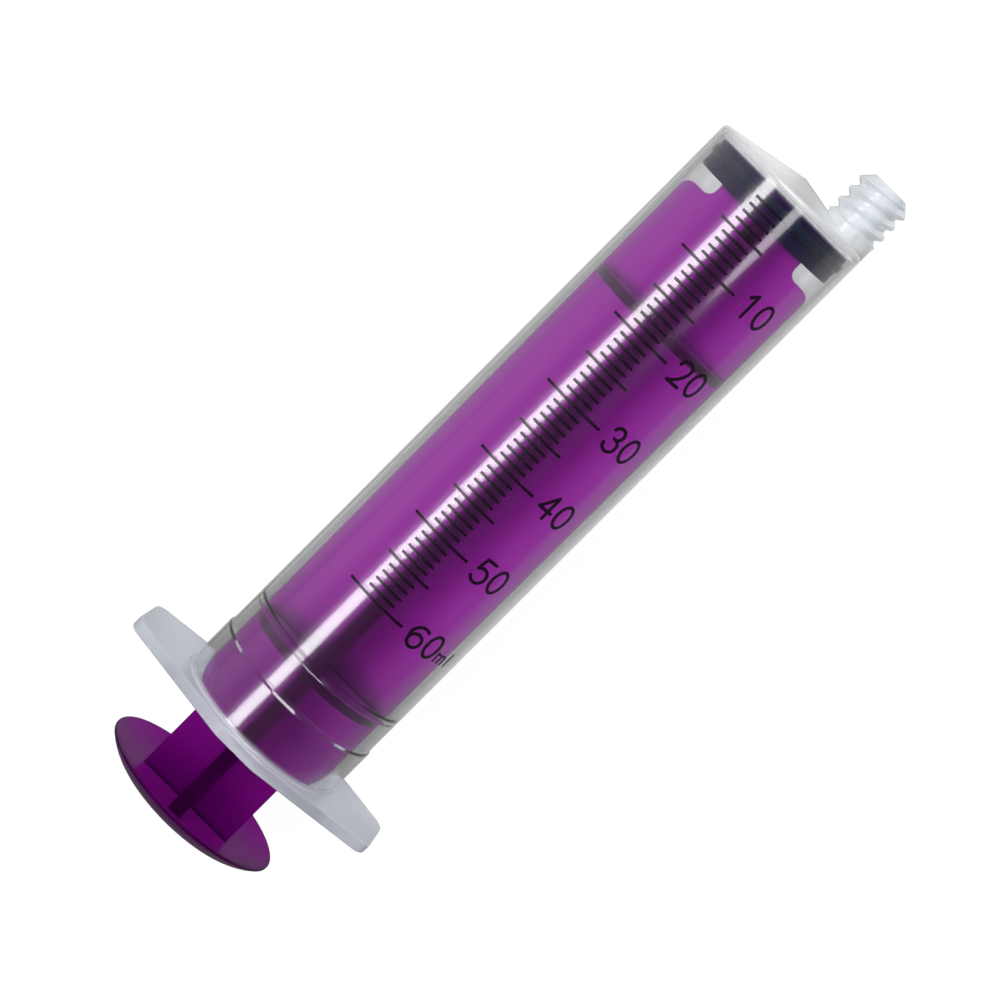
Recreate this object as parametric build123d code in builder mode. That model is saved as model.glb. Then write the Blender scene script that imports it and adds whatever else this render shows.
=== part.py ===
"""A 60 ml oral (enteral) syringe: a clear barrel, its plunger rod, the seal and the printed scale.

Millimetres.  The syringe lies along X: the origin is the centre of the thumb press's rear face and
+X points to the tip.  +Z is the printed side, and the long way of the finger flange is along Y.
"""
import os
from math import cos, pi, radians, sin, tan

from build123d import *

# Stations along the axis, counted from the rear face of the thumb press.
PRESS_RIM_REAR = 3.0
PRESS_RIM_FRONT = 3.6
STEM_END = 16.6
FLANGE_REAR = 18.3
RIB_START = 23.6
SKIRT_END = 30.2
BEAD_STATION = 37.2
WEB_STATIONS = (35.4, 116.1)
RIB_END = 136.45
PISTON_REAR = 139.7
SEAL_STATION = 143.0
PISTON_FACE = 144.95
BARREL_RIM = 146.8
NECK_END = 149.3
THREAD_LAST_CREST = 156.2
TIP_END = 158.1

# Barrel wall and end.
BORE_RADIUS = 14.475
RIM_RADIUS = 15.72
DRAFTED_RADIUS = 16.10
SKIRT_RADIUS = 16.38
SKIRT_STEP_LENGTH = 0.4
END_WALL = 1.5
CONE_ANGLE = 10.1
RIM_ROUNDING = 1.0
BEAD_HEIGHT = 0.2
BEAD_LENGTH = 1.6
MOUTH_CHAMFER = 0.6

# Finger flange.
FLANGE_THICKNESS = 2.2
FLANGE_LENGTH = 54.4
FLANGE_END_HEIGHT = 15.0
FLANGE_HEIGHT = 35.4
FLANGE_FLAT_LENGTH = 8.4
FLANGE_CORNER = 3.2
FLANGE_FLAT_CORNER = 1.0
FLANGE_EDGE_ROUNDING = 0.4
FLANGE_ROOT_ROUNDING = 0.5

# Off-centre tip: a neck, a spigot with a two-start thread outside and a socket inside.
TIP_OFFSET = 10.85
NECK_RADIUS = 4.85
THREAD_ROOT_RADIUS = 4.15
THREAD_CREST_RADIUS = 5.05
NECK_OVERLAP = 0.25
THREAD_PITCH = 2.4
THREAD_STARTS = 2
THREAD_BASE_WIDTH = 1.9
THREAD_CREST_WIDTH = 0.5
THREAD_BURIED_DEPTH = 0.3
THREAD_TRIM_GAP = 0.1
TIP_NOSE_RADIUS = 3.35
SOCKET_RADIUS = 2.8
SOCKET_DEPTH = 9.0
CHANNEL_RADIUS = 1.4
CHANNEL_OVERLAP = 0.5

# Plunger rod.
PRESS_RADIUS = 17.85
PRESS_PAD_RADIUS = 10.6
PRESS_DISH_RADIUS = 9.6
PRESS_WALL = 1.4
PRESS_RIM_ROUNDING = 0.25
STEM_HALF_WIDTH = 9.8
RIB_HALF_WIDTH = 14.1
RIB_THICKNESS = 2.8
RIB_CORNER = 1.7
NECK_HALF_WIDTH = 9.0
WEB_THICKNESS = 1.6
WEB_RADIUS = 13.8
PISTON_RADIUS = 14.05
PISTON_EDGE_ROUNDING = 0.3

# Seal: a ring of round cord, pressed flat where it meets the bore and the groove's floor.
SEAL_CORD_RADIUS = 0.9
SEAL_HALF_HEIGHT = 0.72
SEAL_CLEARANCE = 0.025
GROOVE_SIDE_GAP = 0.05

# Printed scale: angles run round the wall from +Z towards -Y, and glyphs stand up towards the tip.
SCALE_ML = 60
INK_THICKNESS = 0.05
TICK_WIDTH = 0.5
TICK_MIDDLE_ANGLE = -3.4
TICK_SPANS = {10: 43.6, 5: 33.2, 1: 20.6}
DIGIT_ANGLES = (29.8, 43.2)
DIGIT_WIDTH = 3.2
DIGIT_HEIGHT = 5.0
DIGIT_PEN = 0.6
GLYPH_RISE = 0.45
GLYPH_DEPTH = 0.6
UNIT_PEN = 0.4
UNIT_RISE = 0.3
# Letter, angle, width and height.
UNIT_LETTERS = (("m", 55.2, 2.6, 2.1), ("l", 63.8, 0.4, 2.9))

# Each glyph's pen strokes, in half widths and half heights: two points are a line, three an arc.
GLYPH_STROKES = {
    "0": [],
    "1": [((0.2, -1), (0.2, 1)), ((0.2, 1), (-0.6, 0.55))],
    "2": [((-0.95, 0.5), (0, 1), (0.95, 0.5)), ((0.95, 0.5), (0.7, 0), (-1, -1)), ((-1, -1), (1, -1))],
    "3": [
        ((-0.9, 0.65), (0.2, 1), (0.15, 0.08)),
        ((0.15, 0.08), (0.4, -1), (-1, -0.6)),
        ((-0.2, 0.08), (0.15, 0.08)),
    ],
    "4": [((0.5, -1), (0.5, 1)), ((0.5, 1), (-1, -0.35)), ((-1, -0.35), (1, -0.35))],
    "5": [((0.85, 1), (-0.6, 1)), ((-0.6, 1), (-0.85, 0.02)), ((-0.85, 0.02), (0.9, -0.1), (-1, -0.72))],
    "6": [((-1, -0.4), (-0.6, 0.7), (0.85, 0.72))],
    "m": [
        ((-1, -1), (-1, 1)),
        ((0, -1), (0, 0.4)),
        ((1, -1), (1, 0.4)),
        ((-1, 0.4), (-0.5, 0.9), (0, 0.4)),
        ((0, 0.4), (0.5, 0.9), (1, 0.4)),
    ],
    "l": [((0, -1), (0, 1))],
}
# Each closed loop: its centre and its two radii.
GLYPH_RINGS = {"0": ((0, 0), (1, 1)), "6": ((0, -0.42), (1, 0.58))}

# Worked-out values.
CONE_SLOPE = tan(radians(CONE_ANGLE))
BORE_END = BARREL_RIM - END_WALL
THREAD_LEAD = THREAD_PITCH * THREAD_STARTS
# The thread starts on the +Z side, and its last crest stands on the -Y side, three quarters round.
THREAD_START = THREAD_LAST_CREST - 2 * THREAD_PITCH - THREAD_LEAD * 3 / 4
SOCKET_FLOOR = TIP_END - SOCKET_DEPTH
SEAL_MIDDLE_RADIUS = BORE_RADIUS - SEAL_CLEARANCE - SEAL_HALF_HEIGHT
GROOVE_RADIUS = SEAL_MIDDLE_RADIUS - SEAL_HALF_HEIGHT - 2 * SEAL_CLEARANCE
GROOVE_HALF_WIDTH = SEAL_CORD_RADIUS + GROOVE_SIDE_GAP
SCALE_ZERO = SEAL_STATION + SEAL_CORD_RADIUS
ML_LENGTH = 1000 / (pi * BORE_RADIUS**2)

os.makedirs("parts", exist_ok=True)


def wall_radius(x):
    """The outer radius of the drafted barrel wall at station x."""
    return RIM_RADIUS + (DRAFTED_RADIUS - RIM_RADIUS) * (BARREL_RIM - x) / (BARREL_RIM - SKIRT_END)


def wall_plane(angle):
    """The plane through the axis at an angle round the wall: local x is the axis, local y is outward."""
    return Plane((0, 0, 0), x_dir=(1, 0, 0), z_dir=(0, -cos(radians(angle)), -sin(radians(angle))))


def glyph_plane(station, angle):
    """The plane tangent to the wall where a glyph stands: local y points to the tip, local z outward."""
    outward = Vector(0, -sin(radians(angle)), cos(radians(angle)))
    reading = Vector(0, -cos(radians(angle)), -sin(radians(angle)))
    return Plane(Vector(station, 0, 0) + outward * wall_radius(station), x_dir=reading, z_dir=outward)


# ------------------------------------------------------------------ thread ridge
# One start of the thread, along +X from its own origin, as a helix swept by a trapezium.
with BuildPart() as thread_ridge:
    with BuildLine() as thread_helix:
        Helix(THREAD_LEAD, TIP_END - THREAD_START, THREAD_ROOT_RADIUS, direction=(1, 0, 0))
    ridge_plane = Plane(origin=thread_helix.line @ 0, x_dir=(0, 0, 1), z_dir=thread_helix.line % 0)
    with BuildSketch(ridge_plane):
        ridge_height = THREAD_CREST_RADIUS - THREAD_ROOT_RADIUS
        with BuildLine():
            Polyline(
                (-THREAD_BURIED_DEPTH, -THREAD_BASE_WIDTH / 2),
                (0, -THREAD_BASE_WIDTH / 2),
                (ridge_height, -THREAD_CREST_WIDTH / 2),
                (ridge_height, THREAD_CREST_WIDTH / 2),
                (0, THREAD_BASE_WIDTH / 2),
                (-THREAD_BURIED_DEPTH, THREAD_BASE_WIDTH / 2),
                close=True,
            )
        make_face()
    sweep(path=thread_helix.line, is_frenet=True)

# ------------------------------------------------------------------ tip
# The neck and the threaded spigot with their socket, along +X from the first turn of the thread.
neck_face = NECK_END - THREAD_START
last_crest = THREAD_LAST_CREST - THREAD_START
tip_face = TIP_END - THREAD_START
trim_radius = THREAD_CREST_RADIUS + THREAD_TRIM_GAP
with BuildPart() as tip:
    with BuildSketch(Plane.YZ.offset(-THREAD_PITCH)):
        Circle(THREAD_ROOT_RADIUS)
    extrude(amount=tip_face + 2 * THREAD_PITCH)
    for start in range(THREAD_STARTS):
        add(thread_ridge.part, rotation=(start * 360 / THREAD_STARTS, 0, 0))
    with BuildSketch(Plane.XY):
        with BuildLine():
            Polyline(
                (neck_face - NECK_OVERLAP, 0),
                (neck_face - NECK_OVERLAP, trim_radius),
                (last_crest, trim_radius),
                (tip_face, TIP_NOSE_RADIUS),
                (tip_face, 0),
                close=True,
            )
        make_face()
    revolve(axis=Axis.X, mode=Mode.INTERSECT)
    with BuildSketch(Plane.YZ.offset(BARREL_RIM - RIM_ROUNDING - THREAD_START)):
        Circle(NECK_RADIUS)
    extrude(amount=NECK_END - BARREL_RIM + RIM_ROUNDING)
    with BuildSketch(Plane.YZ.offset(tip_face)):
        Circle(SOCKET_RADIUS)
    extrude(amount=-SOCKET_DEPTH, mode=Mode.SUBTRACT)

# ------------------------------------------------------------------ barrel
with BuildPart() as barrel:
    # Outside of the wall and of the end cone.
    with BuildSketch(Plane.XY) as outside:
        with BuildLine():
            Polyline(
                (FLANGE_REAR, 0),
                (FLANGE_REAR, SKIRT_RADIUS),
                (SKIRT_END - SKIRT_STEP_LENGTH, SKIRT_RADIUS),
                (SKIRT_END, wall_radius(SKIRT_END)),
                (BARREL_RIM, RIM_RADIUS),
                (BARREL_RIM + RIM_RADIUS * CONE_SLOPE, 0),
                close=True,
            )
        make_face()
        rim_corner = outside.vertices().sort_by_distance((BARREL_RIM, RIM_RADIUS))[0]
        fillet(rim_corner, RIM_ROUNDING)
    revolve(axis=Axis.X)

    # Finger flange: two wings that taper from a short flat on each long side to a rounded end.
    with BuildSketch(Plane.YZ.offset(FLANGE_REAR)) as flange_outline:
        end_y = FLANGE_LENGTH / 2
        end_z = FLANGE_END_HEIGHT / 2
        flat_y = FLANGE_FLAT_LENGTH / 2
        flat_z = FLANGE_HEIGHT / 2
        with BuildLine():
            Polyline(
                (flat_y, flat_z),
                (end_y, end_z),
                (end_y, -end_z),
                (flat_y, -flat_z),
                (-flat_y, -flat_z),
                (-end_y, -end_z),
                (-end_y, end_z),
                (-flat_y, flat_z),
                close=True,
            )
        make_face()
        for side in (0, -1):
            fillet(flange_outline.vertices().group_by(Axis.X)[side], FLANGE_CORNER)
            fillet(flange_outline.vertices().group_by(Axis.Y)[side], FLANGE_FLAT_CORNER)
    extrude(amount=FLANGE_THICKNESS)
    rear_edges = barrel.faces().sort_by(Axis.X)[0].outer_wire().edges()
    fillet(rear_edges, FLANGE_EDGE_ROUNDING)
    front_face = barrel.faces().filter_by(Plane.YZ).sort_by(Axis.X)[-1]
    fillet(front_face.outer_wire().edges(), FLANGE_EDGE_ROUNDING)
    front_face = barrel.faces().filter_by(Plane.YZ).sort_by(Axis.X)[-1]
    fillet(front_face.inner_wires().edges(), FLANGE_ROOT_ROUNDING)

    # Tip, off centre and flush with the wall.
    with Locations((THREAD_START, -TIP_OFFSET, 0)):
        add(tip.part)

    # Bore, with a low bead near the mouth that keeps the plunger in.
    with BuildSketch(Plane.XY):
        bead_radius = BORE_RADIUS - BEAD_HEIGHT
        with BuildLine():
            bore_start = (FLANGE_REAR + MOUTH_CHAMFER, BORE_RADIUS)
            bead_rear = (BEAD_STATION - BEAD_LENGTH / 2, BORE_RADIUS)
            bead_front = (BEAD_STATION + BEAD_LENGTH / 2, BORE_RADIUS)
            Polyline((FLANGE_REAR, 0), (FLANGE_REAR, BORE_RADIUS + MOUTH_CHAMFER), bore_start, bead_rear)
            ThreePointArc(bead_rear, (BEAD_STATION, bead_radius), bead_front)
            Polyline(
                bead_front,
                (BORE_END, BORE_RADIUS),
                (BORE_END + BORE_RADIUS * CONE_SLOPE, 0),
                (FLANGE_REAR, 0),
            )
        make_face()
    revolve(axis=Axis.X, mode=Mode.SUBTRACT)

    # Channel from the bore to the socket.
    with BuildSketch(Plane.YZ.offset(BORE_END)):
        with Locations((-TIP_OFFSET, 0)):
            Circle(CHANNEL_RADIUS)
    extrude(amount=SOCKET_FLOOR + CHANNEL_OVERLAP - BORE_END, mode=Mode.SUBTRACT)

barrel.part.label = "barrel"
export_step(barrel.part, "parts/barrel.step")

# ------------------------------------------------------------------ rib
# One of the rod's two crossed ribs: a narrow stem, a rounded shoulder, the full width, and a neck.
with BuildPart() as rib:
    with BuildSketch(Plane.XY) as rib_outline:
        rib_root = PRESS_WALL / 2
        rib_tip = PISTON_REAR + PISTON_EDGE_ROUNDING
        with BuildLine():
            for side in (1, -1):
                stem_corner = (STEM_END, side * STEM_HALF_WIDTH)
                shoulder = (RIB_START, side * RIB_HALF_WIDTH)
                Polyline((rib_root, 0), (rib_root, side * STEM_HALF_WIDTH), stem_corner)
                TangentArc(shoulder, stem_corner, tangent=(-1, 0))
                Polyline(
                    shoulder,
                    (RIB_END, side * RIB_HALF_WIDTH),
                    (RIB_END, side * NECK_HALF_WIDTH),
                    (rib_tip, side * NECK_HALF_WIDTH),
                    (rib_tip, 0),
                )
        make_face()
        for side in (1, -1):
            for half_width in (RIB_HALF_WIDTH, NECK_HALF_WIDTH):
                corner = rib_outline.vertices().sort_by_distance((RIB_END, side * half_width))[0]
                fillet(corner, RIB_CORNER)
    extrude(amount=RIB_THICKNESS / 2, both=True)

# ------------------------------------------------------------------ plunger rod
with BuildPart() as plunger:
    # Thumb press: a dished disc with a flat pad behind and a thin rim.
    with BuildSketch(Plane.XY):
        pad_rear = (0, PRESS_PAD_RADIUS)
        pad_front = (PRESS_WALL, PRESS_DISH_RADIUS)
        rim_rear = (PRESS_RIM_REAR, PRESS_RADIUS)
        rim_front = (PRESS_RIM_FRONT, PRESS_RADIUS)
        with BuildLine():
            Polyline((PRESS_WALL, 0), (0, 0), pad_rear)
            TangentArc(pad_rear, rim_rear, tangent=(0, 1))
            Line(rim_rear, rim_front)
            TangentArc(pad_front, rim_front, tangent=(0, 1))
            Line(pad_front, (PRESS_WALL, 0))
        make_face()
    revolve(axis=Axis.X)
    rim_edges = plunger.edges().filter_by(GeomType.CIRCLE).group_by(SortBy.RADIUS)[-1]
    fillet(rim_edges, PRESS_RIM_ROUNDING)

    # Crossed ribs, the round webs between them and the piston.
    add(rib.part)
    add(rib.part, rotation=(90, 0, 0))
    for station in WEB_STATIONS:
        with BuildSketch(Plane.YZ.offset(station)):
            Circle(WEB_RADIUS)
        extrude(amount=WEB_THICKNESS / 2, both=True)
    with BuildSketch(Plane.YZ.offset(PISTON_REAR)):
        Circle(PISTON_RADIUS)
    extrude(amount=PISTON_FACE - PISTON_REAR)
    piston_edges = plunger.edges().filter_by(GeomType.CIRCLE).filter_by(
        lambda edge: edge.center().X > RIB_END and edge.radius > WEB_RADIUS
    )
    fillet(piston_edges, PISTON_EDGE_ROUNDING)

    # Groove for the seal.
    with BuildSketch(Plane.YZ.offset(SEAL_STATION)):
        Circle(BORE_RADIUS)
        Circle(GROOVE_RADIUS, mode=Mode.SUBTRACT)
    extrude(amount=GROOVE_HALF_WIDTH, both=True, mode=Mode.SUBTRACT)

plunger.part.label = "plunger"
export_step(plunger.part, "parts/plunger.step")

# ------------------------------------------------------------------ seal
with BuildPart() as o_ring:
    with BuildSketch(Plane.XY):
        with Locations((SEAL_STATION, SEAL_MIDDLE_RADIUS)):
            Circle(SEAL_CORD_RADIUS)
            Rectangle(4 * SEAL_CORD_RADIUS, 2 * SEAL_HALF_HEIGHT, mode=Mode.INTERSECT)
    revolve(axis=Axis.X)

o_ring.part.label = "o_ring"
export_step(o_ring.part, "parts/o_ring.step")

# ------------------------------------------------------------------ scale marks
with BuildPart() as scale_marks:
    for ml in range(1, SCALE_ML + 1):
        span = next(TICK_SPANS[step] for step in TICK_SPANS if ml % step == 0)
        rear = SCALE_ZERO - ml * ML_LENGTH - TICK_WIDTH / 2
        front = rear + TICK_WIDTH
        with BuildSketch(wall_plane(TICK_MIDDLE_ANGLE - span / 2)):
            with BuildLine():
                Polyline(
                    (rear, wall_radius(rear)),
                    (front, wall_radius(front)),
                    (front, wall_radius(front) + INK_THICKNESS),
                    (rear, wall_radius(rear) + INK_THICKNESS),
                    close=True,
                )
            make_face()
        revolve(axis=Axis.X, revolution_arc=span)

scale_marks.part.label = "scale_marks"
export_step(scale_marks.part, "parts/scale_marks.step")

# ------------------------------------------------------------------ scale numerals


def glyph_sketch(glyph, station, angle, width, height, pen):
    """One upright glyph, flat, on the plane that touches the wall at a station and an angle."""
    half_width = (width - pen) / 2
    half_height = (height - pen) / 2
    with BuildSketch(glyph_plane(station, angle)) as glyph_face:
        for stroke in GLYPH_STROKES[glyph]:
            points = [(half_width * x, half_height * y) for x, y in stroke]
            draw_stroke = Line if len(points) == 2 else ThreePointArc
            with BuildLine():
                draw_stroke(*points)
            trace(line_width=pen)
            with Locations(points[0], points[-1]):
                Circle(pen / 2)
        if glyph in GLYPH_RINGS:
            centre, radii = GLYPH_RINGS[glyph]
            ring_x = half_width * radii[0]
            ring_y = half_height * radii[1]
            with Locations((half_width * centre[0], half_height * centre[1])):
                Ellipse(ring_x + pen / 2, ring_y + pen / 2)
                Ellipse(ring_x - pen / 2, ring_y - pen / 2, mode=Mode.SUBTRACT)
    return glyph_face.sketch


# The whole wall in one thickness of ink, from which each glyph is cut.
with BuildPart() as ink_sleeve:
    with BuildSketch(Plane.XY):
        with BuildLine():
            Polyline(
                (SKIRT_END, DRAFTED_RADIUS),
                (BARREL_RIM, RIM_RADIUS),
                (BARREL_RIM, RIM_RADIUS + INK_THICKNESS),
                (SKIRT_END, DRAFTED_RADIUS + INK_THICKNESS),
                close=True,
            )
        make_face()
    revolve(axis=Axis.X)

with BuildPart() as scale_numerals:
    for ml in range(10, SCALE_ML + 1, 10):
        numeral_station = SCALE_ZERO - ml * ML_LENGTH + GLYPH_RISE
        for digit, angle in zip(str(ml), DIGIT_ANGLES):
            digit_face = glyph_sketch(digit, numeral_station, angle, DIGIT_WIDTH, DIGIT_HEIGHT, DIGIT_PEN)
            extrude(digit_face, amount=GLYPH_DEPTH, both=True)
    unit_foot = numeral_station - DIGIT_HEIGHT / 2 + UNIT_RISE
    for letter, angle, width, height in UNIT_LETTERS:
        letter_face = glyph_sketch(letter, unit_foot + height / 2, angle, width, height, UNIT_PEN)
        extrude(letter_face, amount=GLYPH_DEPTH, both=True)
    add(ink_sleeve.part, mode=Mode.INTERSECT)

scale_numerals.part.label = "scale_numerals"
export_step(scale_numerals.part, "parts/scale_numerals.step")
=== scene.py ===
"""The looks of a 60 ml oral syringe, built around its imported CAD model, in metres."""
import math

import bpy
from mathutils import Matrix, Vector


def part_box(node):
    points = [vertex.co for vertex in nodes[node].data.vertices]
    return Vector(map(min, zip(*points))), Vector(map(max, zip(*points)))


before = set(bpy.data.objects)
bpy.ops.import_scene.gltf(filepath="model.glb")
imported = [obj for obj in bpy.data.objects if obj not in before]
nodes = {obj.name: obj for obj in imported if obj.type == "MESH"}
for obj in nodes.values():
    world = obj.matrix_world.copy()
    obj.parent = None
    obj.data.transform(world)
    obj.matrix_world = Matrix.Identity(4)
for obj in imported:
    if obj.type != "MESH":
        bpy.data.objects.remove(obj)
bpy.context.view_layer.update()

MM = 0.001

# The photographed view, in the row frame.
LOOK_AT = Vector((76.54, -1.65, 0)) * MM
CAMERA_DISTANCE = 472.15 * MM
CAMERA_TILT = math.radians(9.07)
LENS = 101.93
SENSOR = 36.0

# Each light's distance from the syringe's axis, in metres.
LIGHT_DISTANCE = 0.75

# Where the finish changes along the axis, and where the plunger head's painted shade starts, as the start
# and the end of each change.
FROST_ENDS = (20.4 * MM, 21.4 * MM)
HAZE_ENDS = (30 * MM, 60 * MM)
END_CLOUD_STARTS = (144.9 * MM, 146.4 * MM)
TIP_STARTS = (148.4 * MM, 150.4 * MM)
PISTON_SHADE_STARTS = (138.6 * MM, 139.8 * MM)

PLASTIC_IOR = 1.49

# The two stations where the lying syringe touches the floor, and how low its front rim is there.
FLANGE_STATION = 18.7 * MM
RIM_STATION = 146.0 * MM
RIM_LOW = -15.72 * MM
FLOOR_SIZE = 6.0
# The floor's strength as a lamp, and how white the camera sees it.
PANEL_STRENGTH = 0.74
PANEL_UNDER_RIB = 0.24
PANEL_ASIDE = 0.27
PANEL_UNDER_PRESS = 0.17
FLOOR_SEEN = 0.96


# ------------------------------------------------------------------ node helpers
class Graph:
    """A material's node tree, with one short call for each kind of node."""

    def __init__(self, name):
        self.material = bpy.data.materials.new(name)
        self.material.use_nodes = True
        self.tree = self.material.node_tree
        self.tree.nodes.clear()
        self.output = self.tree.nodes.new("ShaderNodeOutputMaterial")
        self.shader = self.tree.nodes.new("ShaderNodeBsdfPrincipled")
        self.tree.links.new(self.shader.outputs[0], self.output.inputs[0])
        place = self.tree.nodes.new("ShaderNodeTexCoord")
        self.place = place.outputs["Object"]
        split = self.tree.nodes.new("ShaderNodeSeparateXYZ")
        self.tree.links.new(self.place, split.inputs[0])
        self.x, self.y, self.z = split.outputs

    def put(self, value, socket):
        """Sets a socket to a number or a colour, or links it to another node's output."""
        if isinstance(value, bpy.types.NodeSocket):
            self.tree.links.new(value, socket)
        else:
            socket.default_value = value

    def math(self, operation, *values):
        node = self.tree.nodes.new("ShaderNodeMath")
        node.operation = operation
        for value, socket in zip(values, node.inputs):
            self.put(value, socket)
        return node.outputs[0]

    def step(self, value, low, high):
        """0 below low and 1 above high, with a smooth change between them."""
        node = self.tree.nodes.new("ShaderNodeMapRange")
        node.interpolation_type = "SMOOTHSTEP"
        for given, name in ((value, "Value"), (low, "From Min"), (high, "From Max")):
            self.put(given, node.inputs[name])
        return node.outputs[0]

    def mix(self, factor, low, high):
        """A number between two numbers."""
        node = self.tree.nodes.new("ShaderNodeMix")
        for given, socket in zip((factor, low, high), (node.inputs[0], node.inputs[2], node.inputs[3])):
            self.put(given, socket)
        return node.outputs[0]

    def blend(self, factor, low, high):
        """A colour between two colours."""
        node = self.tree.nodes.new("ShaderNodeMix")
        node.data_type = "RGBA"
        for given, socket in zip((factor, low, high), (node.inputs[0], node.inputs[6], node.inputs[7])):
            self.put(given, socket)
        return node.outputs[2]

    def noise(self, scale, detail=2.0, stretch=(1, 1, 1)):
        """Noise of about 0 to 1, with a size in cycles per metre and a stretch along each axis."""
        mapping = self.tree.nodes.new("ShaderNodeMapping")
        mapping.inputs["Scale"].default_value = stretch
        self.put(self.place, mapping.inputs["Vector"])
        node = self.tree.nodes.new("ShaderNodeTexNoise")
        self.put(mapping.outputs[0], node.inputs["Vector"])
        node.inputs["Scale"].default_value = scale
        node.inputs["Detail"].default_value = detail
        return node.outputs["Fac"]

    def bump(self, height, depth):
        node = self.tree.nodes.new("ShaderNodeBump")
        node.inputs["Strength"].default_value = 1.0
        node.inputs["Distance"].default_value = depth
        self.put(height, node.inputs["Height"])
        return node.outputs[0]

    def set(self, **inputs):
        """Sets or links the shader's inputs, by name."""
        for name, value in inputs.items():
            self.put(value, self.shader.inputs[name.replace("_", " ")])
        return self.material


# ------------------------------------------------------------------ materials
def clear_plastic():
    """Clear polypropylene: a polished wall, a frosted flange and a cloudy end and tip."""
    g = Graph("clear_plastic")
    frosted = g.math("SUBTRACT", 1.0, g.step(g.x, *FROST_ENDS))
    cloudy = g.step(g.x, *END_CLOUD_STARTS)
    tip = g.step(g.x, *TIP_STARTS)
    haze = g.math("SUBTRACT", 1.0, g.step(g.x, *HAZE_ENDS))
    waviness = g.noise(60.0, stretch=(0.3, 1, 1))
    grain = g.noise(2600.0, 3.0)
    wall_colour = (0.91, 0.91, 0.925, 1)
    end_colour = (0.95, 0.96, 0.97, 1)
    tip_colour = (0.84, 0.87, 0.90, 1)
    frost_colour = (0.88, 0.92, 0.99, 1)
    colour = g.blend(cloudy, wall_colour, g.blend(tip, end_colour, tip_colour))
    wall_roughness = g.mix(waviness, 0.04, 0.06)
    roughness = g.mix(frosted, g.mix(cloudy, wall_roughness, 0.38), g.mix(grain, 0.38, 0.5))
    wall_transmission = g.mix(haze, 0.997, 0.995)
    transmission = g.mix(frosted, g.mix(cloudy, wall_transmission, 0.5), 0.7)
    return g.set(
        Base_Color=g.blend(frosted, colour, frost_colour),
        Roughness=roughness,
        Transmission_Weight=transmission,
        IOR=PLASTIC_IOR,
        Coat_Weight=1.0,
        Coat_Roughness=0.15,
        Normal=g.bump(g.math("MULTIPLY", grain, frosted), 0.03 * MM),
    )


def purple_plastic():
    """Translucent purple polypropylene: thin parts let light through from behind, and deep parts go dark.
    The plunger head is painted dark navy and less clear, as painted shade.
    """
    g = Graph("purple_plastic")
    grain = g.noise(1500.0, 3.0)
    absorption = g.tree.nodes.new("ShaderNodeVolumeAbsorption")
    absorption.inputs["Color"].default_value = (0.55, 0.0, 0.56, 1)
    absorption.inputs["Density"].default_value = 330.0
    g.tree.links.new(absorption.outputs[0], g.output.inputs["Volume"])
    # Painted shade: from here forward the plunger head gets a dark navy base colour and lower transmission,
    # standing in for the shade it lies in.
    piston_shade = g.step(g.x, *PISTON_SHADE_STARTS)
    rod_colour = (0.76, 0.02, 0.82, 1)
    piston_shade_colour = (0.025, 0.014, 0.13, 1)
    return g.set(
        Base_Color=g.blend(piston_shade, rod_colour, piston_shade_colour),
        Roughness=g.mix(grain, 0.31, 0.37),
        Specular_IOR_Level=0.05,
        Specular_Tint=(0.35, 0.0, 0.4, 1),
        Transmission_Weight=g.mix(piston_shade, 0.97, 0.75),
        IOR=PLASTIC_IOR,
        Normal=g.bump(grain, 0.01 * MM),
    )


def seal_rubber():
    """Black rubber with a film of silicone oil."""
    g = Graph("seal_rubber")
    grain = g.noise(4000.0, 3.0)
    return g.set(
        Base_Color=(0.002, 0.006, 0.030, 1),
        Roughness=g.mix(grain, 0.25, 0.4),
        Specular_IOR_Level=0.25,
        Normal=g.bump(grain, 0.01 * MM),
    )


def scale_ink():
    """Screen-printed black ink, a little uneven in its film."""
    g = Graph("scale_ink")
    film = g.noise(1200.0, 4.0)
    colour = g.blend(film, (0.014, 0.002, 0.016, 1), (0.024, 0.004, 0.027, 1))
    return g.set(Base_Color=colour, Roughness=g.mix(film, 0.20, 0.26))


def dress(node, material):
    nodes[node].material_slots[0].material = material


plastic = clear_plastic()
ink = scale_ink()
dress("barrel", plastic)
dress("plunger", purple_plastic())
dress("o_ring", seal_rubber())
dress("scale_marks", ink)
dress("scale_numerals", ink)
# Light passes the clear wall, so it reaches the rod inside and the floor behind.
for clear_or_thin in ("barrel", "scale_marks", "scale_numerals"):
    nodes[clear_or_thin].visible_shadow = False


# ------------------------------------------------------------------ floor and light
def pale_floor():
    """A light table that the syringe lies on: white to the camera, and dimmer and uneven as a lamp."""
    flange_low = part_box("barrel")[0].z
    slope = math.atan2(RIM_LOW - flange_low, RIM_STATION - FLANGE_STATION)
    bpy.ops.mesh.primitive_plane_add(
        size=FLOOR_SIZE, location=(FLANGE_STATION, 0, flange_low), rotation=(0, -slope, 0))
    floor = bpy.context.object
    floor.name = "floor"
    g = Graph("floor_acrylic")
    seen = g.tree.nodes.new("ShaderNodeLightPath").outputs["Is Camera Ray"]
    # The floor's own origin is under the flange.
    aside = g.step(g.math("ABSOLUTE", g.y), 12 * MM, 36 * MM)
    forward = g.step(g.x, -20 * MM, 36 * MM)
    from_rib = g.math("ABSOLUTE", g.math("ADD", g.y, 2.5 * MM))
    shaded = g.math("SUBTRACT", 1.0, g.step(from_rib, 0.0, 9 * MM))
    panel = g.mix(shaded, PANEL_STRENGTH, PANEL_UNDER_RIB)
    lamp = g.mix(forward, PANEL_UNDER_PRESS, g.mix(aside, panel, PANEL_ASIDE))
    g.set(Base_Color=(0.12, 0.12, 0.12, 1), Roughness=0.9, Specular_IOR_Level=0.1)
    g.set(Emission_Color=(1, 1, 1, 1), Emission_Strength=g.mix(seen, lamp, FLOOR_SEEN))
    floor.data.materials.append(g.material)


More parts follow.
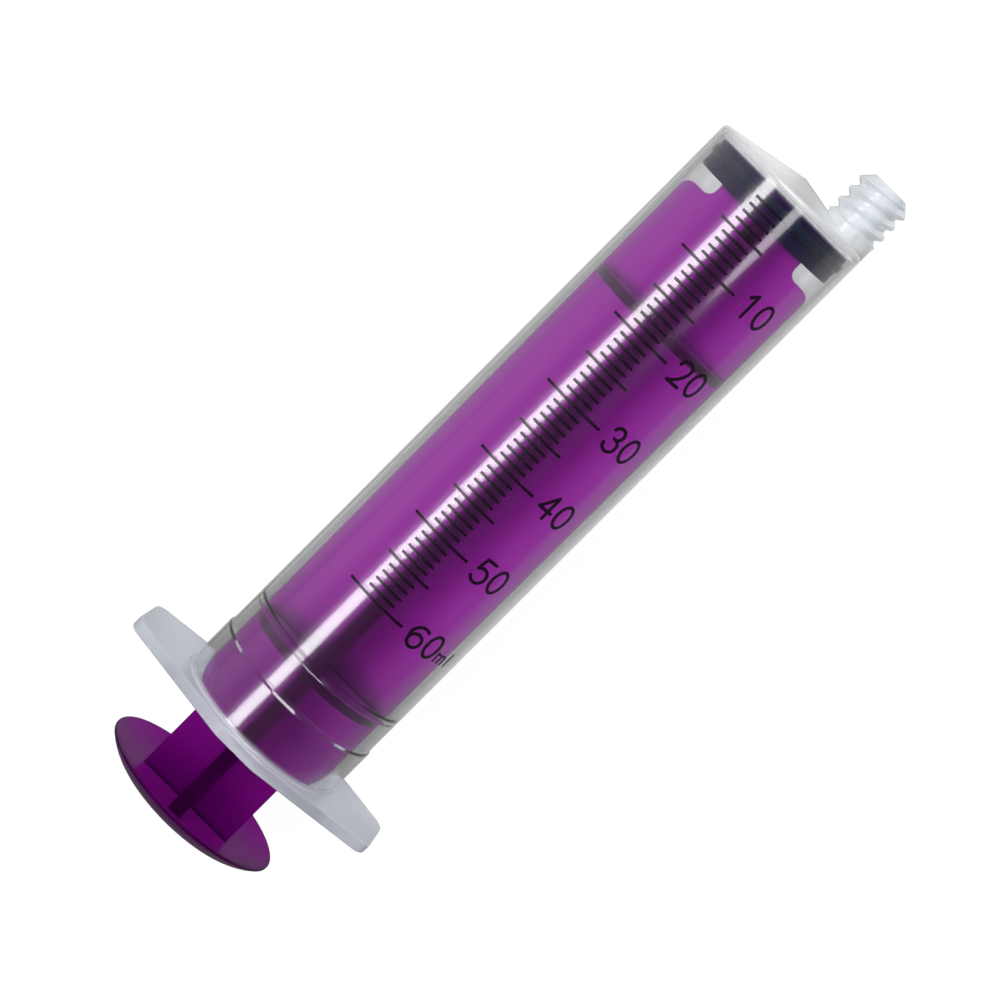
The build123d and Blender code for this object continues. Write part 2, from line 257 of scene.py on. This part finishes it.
def soft_box(name, lean, angle, station, width, length, radiance, shape="RECTANGLE"):
    """An area light that leans from straight above a station of the axis, with its width along the lean."""
    data = bpy.data.lights.new(name, "AREA")
    data.shape = shape
    data.size, data.size_y = length, width
    data.energy = radiance * math.pi * width * length
    light = bpy.data.objects.new(name, data)
    bpy.context.scene.collection.objects.link(light)
    offset = Vector(lean) * math.sin(angle) + Vector((0, 0, 1)) * math.cos(angle)
    light.location = Vector((station, 0, 0)) + offset * LIGHT_DISTANCE
    light.rotation_euler = (-offset).to_track_quat("-Z", "Y").to_euler()
    light.visible_camera = False


def studio_world():
    """A light tent: dim overhead, where the camera looks in, and brightest low down on the +Y side."""
    world = bpy.data.worlds.new("studio")
    bpy.context.scene.world = world
    world.use_nodes = True
    tree = world.node_tree
    background = tree.nodes["Background"]
    background.inputs["Color"].default_value = (1, 1, 1, 1)
    place = tree.nodes.new("ShaderNodeTexCoord")
    split = tree.nodes.new("ShaderNodeSeparateXYZ")
    tree.links.new(place.outputs["Generated"], split.inputs[0])

    def fade(direction, low, high, at_low, at_high):
        node = tree.nodes.new("ShaderNodeMapRange")
        node.interpolation_type = "SMOOTHSTEP"
        tree.links.new(direction, node.inputs["Value"])
        for name, value in (("From Min", low), ("From Max", high), ("To Min", at_low), ("To Max", at_high)):
            node.inputs[name].default_value = value
        return node.outputs[0]

    total = tree.nodes.new("ShaderNodeMath")
    tree.links.new(fade(split.outputs[2], 0.1, 0.95, 0.15, 0.01), total.inputs[0])
    tree.links.new(fade(split.outputs[1], 0.5, 0.95, 0.0, 0.22), total.inputs[1])
    tree.links.new(total.outputs[0], background.inputs["Strength"])


def photographed_view():
    data = bpy.data.cameras.new("camera")
    data.lens, data.sensor_width = LENS, SENSOR
    data.clip_start, data.clip_end = 0.01, 20.0
    camera = bpy.data.objects.new("camera", data)
    bpy.context.scene.collection.objects.link(camera)
    back = Vector((math.sin(CAMERA_TILT), 0, math.cos(CAMERA_TILT)))
    across = Vector((math.cos(CAMERA_TILT), 0, -math.sin(CAMERA_TILT)))
    right = (across - Vector((0, 1, 0))).normalized()
    up = back.cross(right)
    turn = Matrix((right, up, back)).transposed()
    camera.matrix_world = Matrix.Translation(LOOK_AT + back * CAMERA_DISTANCE) @ turn.to_4x4()
    bpy.context.scene.camera = camera


pale_floor()
# Two strips over one another give the long highlight a bright middle and dimmer edges.
for name, width, length, radiance in (("key_strip", 0.11, 0.44, 5.2), ("key_strip_rim", 0.19, 0.5, 5.5)):
    soft_box(name, (0, 1, 0), math.radians(26.3), -0.02, width, length, radiance)
soft_box("side_lamp", (0, -1, 0), math.radians(20), 0.15, 0.16, 0.12, 2.4, "ELLIPSE")
soft_box("front_fill", (1, 0, 0), math.radians(61), 0.08, 0.3, 0.4, 8.0)
studio_world()
photographed_view()
bpy.context.scene.view_settings.view_transform = "Standard"
